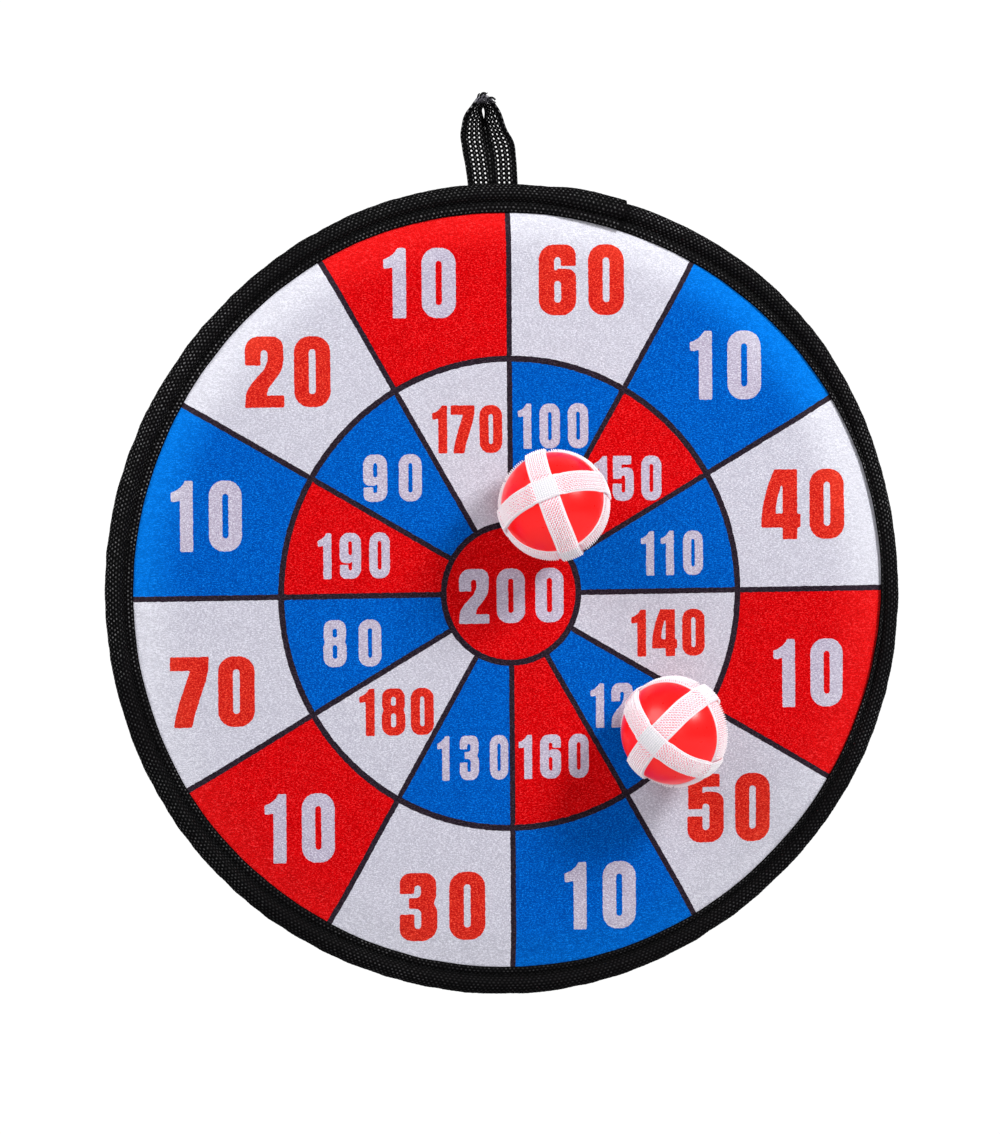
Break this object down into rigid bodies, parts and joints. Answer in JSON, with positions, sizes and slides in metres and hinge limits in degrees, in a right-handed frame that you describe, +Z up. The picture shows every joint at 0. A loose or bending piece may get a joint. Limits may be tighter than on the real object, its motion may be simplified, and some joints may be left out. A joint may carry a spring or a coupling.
{
  "type": "soft target board with hook-tape balls",
  "caption": "Round soft target board with a printed brushed-loop face, bound edge and hanging loop, with hollow throwing balls wrapped in hook tape that stick to it.",
  "frame": {"origin": "centre of the back cover's flat rear face, which rests on the wall", "axes": "+Y into the wall (the printed face looks along -Y), +Z up to the hanging loop, +X to the right of someone facing the board"},
  "size_m": [0.28, 0.0465, 0.3086],
  "materials": {
    "face_print": "matte",
    "foam": "matte",
    "card": "matte",
    "back_cloth": "matte",
    "binding_tape": "matte",
    "thread": "satin",
    "loop_tape": "matte",
    "red_shell": "gloss",
    "hook_tape": "satin"
  },
  "bodies": {
    "board": {"front_fabric": "face_print", "foam_pad": "foam", "stiffener_board": "card", "back_cover": "back_cloth", "edge_binding": "binding_tape", "binding_needle_thread": "thread", "binding_bobbin_thread": "thread", "loop_sewn_ends": "loop_tape", "loop_tack_thread": "thread"},
    "loop": {"hanging_loop": "loop_tape"},
    "ball_a": {"ball_a_front_shell": "red_shell", "ball_a_rear_shell": "red_shell", "ball_a_inner_strip": "hook_tape", "ball_a_middle_strip": "hook_tape", "ball_a_outer_strip": "hook_tape"},
    "ball_b": {"ball_b_front_shell": "red_shell", "ball_b_rear_shell": "red_shell", "ball_b_inner_strip": "hook_tape", "ball_b_middle_strip": "hook_tape", "ball_b_outer_strip": "hook_tape"}
  },
  "joints": [
    {"name": "loop_fold", "type": "hinge", "parent": "board", "child": "loop", "pos_m": [-0.00424, -0.00075, 0.141], "axis": [1, 0, 0], "range_deg": [-75, 75], "stiffness_Nm_per_rad": 0.002},
    {"name": "ball_a_pull", "type": "slide", "parent": "board", "child": "ball_a", "axis": [0, -1, 0], "range_m": [0, 0.1]},
    {"name": "ball_b_pull", "type": "slide", "parent": "board", "child": "ball_b", "axis": [0, -1, 0], "range_m": [0, 0.1]}
  ]
}
